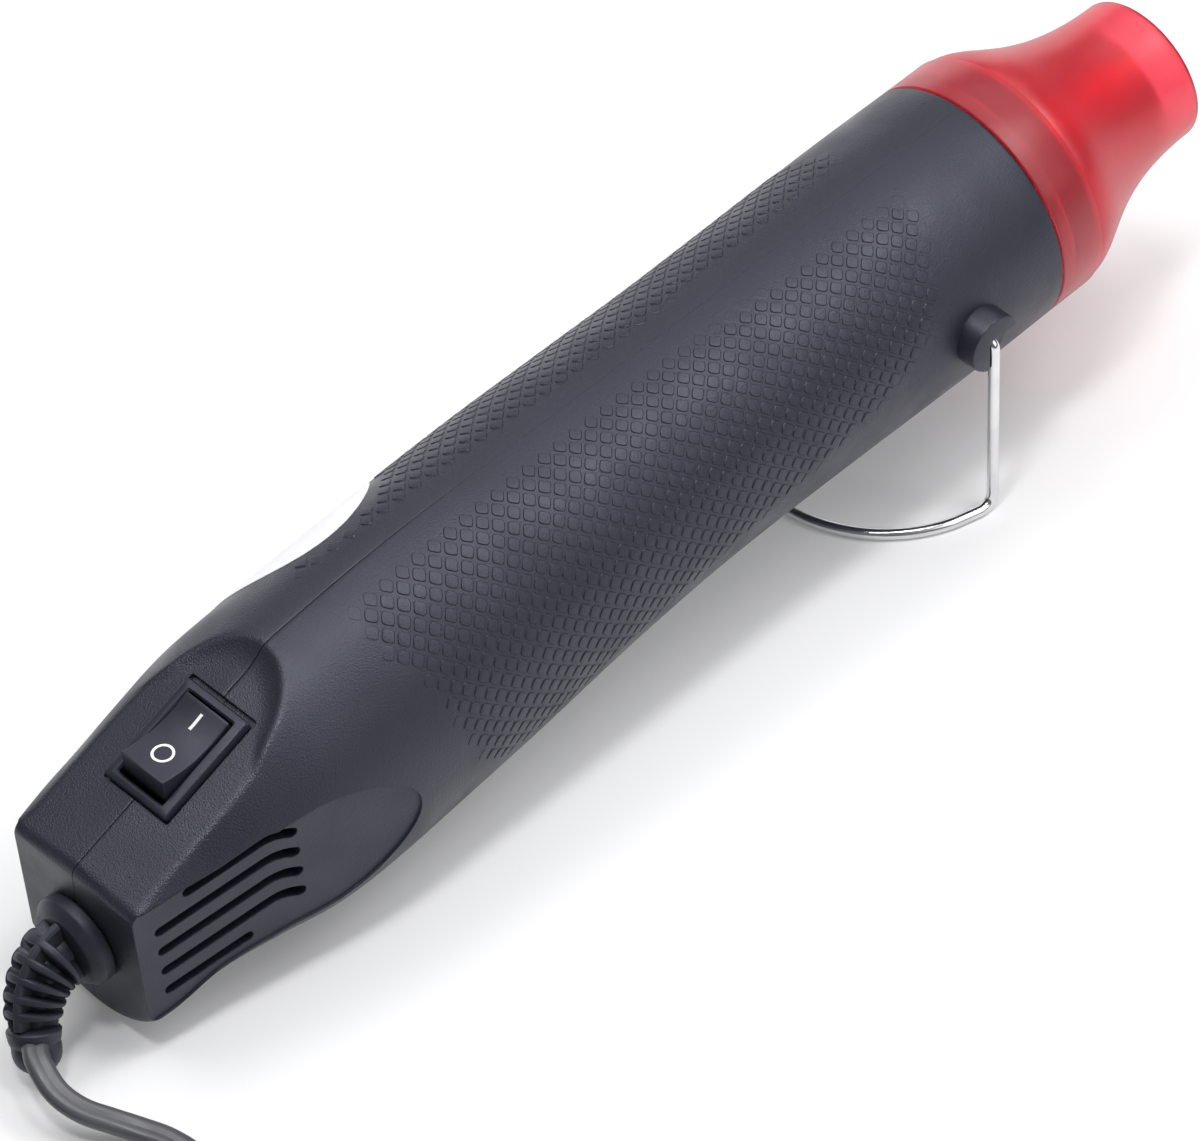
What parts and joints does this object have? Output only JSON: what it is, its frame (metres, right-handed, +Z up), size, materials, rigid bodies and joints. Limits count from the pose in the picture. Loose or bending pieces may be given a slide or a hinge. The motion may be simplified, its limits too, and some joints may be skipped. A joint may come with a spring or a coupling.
{
  "type": "hot air tool",
  "caption": "Slim hot air tool: plastic body, translucent red nozzle guard over a steel heater tube, rocker switch on its sloped tail, folding wire stand and a two-core lead in a coil.",
  "frame": {"origin": "bottom centre of the tool's bounding box without the lead and its strain relief, on the floor that it stands on", "axes": "+X forward to the nozzle, along the tool as it stands; +Y to the left; +Z up"},
  "size_m": [0.4017, 0.0871, 0.0651],
  "materials": {
    "housing": "fine grain",
    "guard": "translucent",
    "tube": "bright",
    "mica": "satin sheet",
    "winding": "drawn wire",
    "white_plastic": "matt",
    "inner_plastic": "matt",
    "brass": "stamped",
    "motor": "plated",
    "board": "satin",
    "switch": "satin",
    "wire": "bright",
    "boot": "matt",
    "lead": "satin"
  },
  "bodies": {
    "housing": {"left_shell": "housing", "right_shell": "housing", "nozzle_guard": "guard", "heater_tube": "tube", "mica_washer": "mica", "mica_liner": "mica", "mica_plate_upright": "mica", "mica_plate_level": "mica", "heater_coil": "winding", "thermal_fuse": "white_plastic", "thermal_cutoff": "brass", "motor_can": "motor", "motor_end_cap": "white_plastic", "motor_mount": "inner_plastic", "air_duct": "inner_plastic", "rectifier_board": "board", "diode_1": "switch", "diode_2": "switch", "diode_3": "switch", "diode_4": "switch", "switch_body": "switch", "switch_terminal_1": "brass", "switch_terminal_2": "brass", "housing_screw_1": "motor", "housing_screw_2": "motor", "housing_screw_3": "motor", "housing_screw_4": "motor", "strain_relief": "boot", "cord": "lead", "cord_coil": "lead", "cord_tie": "inner_plastic", "plug_body": "lead", "plug_blade_1": "brass", "plug_blade_2": "brass"},
    "rotor": {"motor_shaft": "motor", "fan_impeller": "inner_plastic"},
    "rocker": {"rocker": "switch"},
    "stand": {"kickstand": "wire"}
  },
  "joints": [
    {"name": "stand_swing", "type": "hinge", "parent": "housing", "child": "stand", "pos_m": [0.06054, 0, 0.04005], "axis": [0, -1, 0], "range_deg": [0, 90]},
    {"name": "rocker_rock", "type": "hinge", "parent": "housing", "child": "rocker", "pos_m": [-0.10259, 0, 0.0438], "axis": [0, -1, 0], "range_deg": [0, 24]},
    {"name": "fan_spin", "type": "hinge", "parent": "housing", "child": "rotor", "pos_m": [-0.02136, 0, 0.03601], "axis": [0.999, 0, 0.0456], "continuous": true}
  ]
}
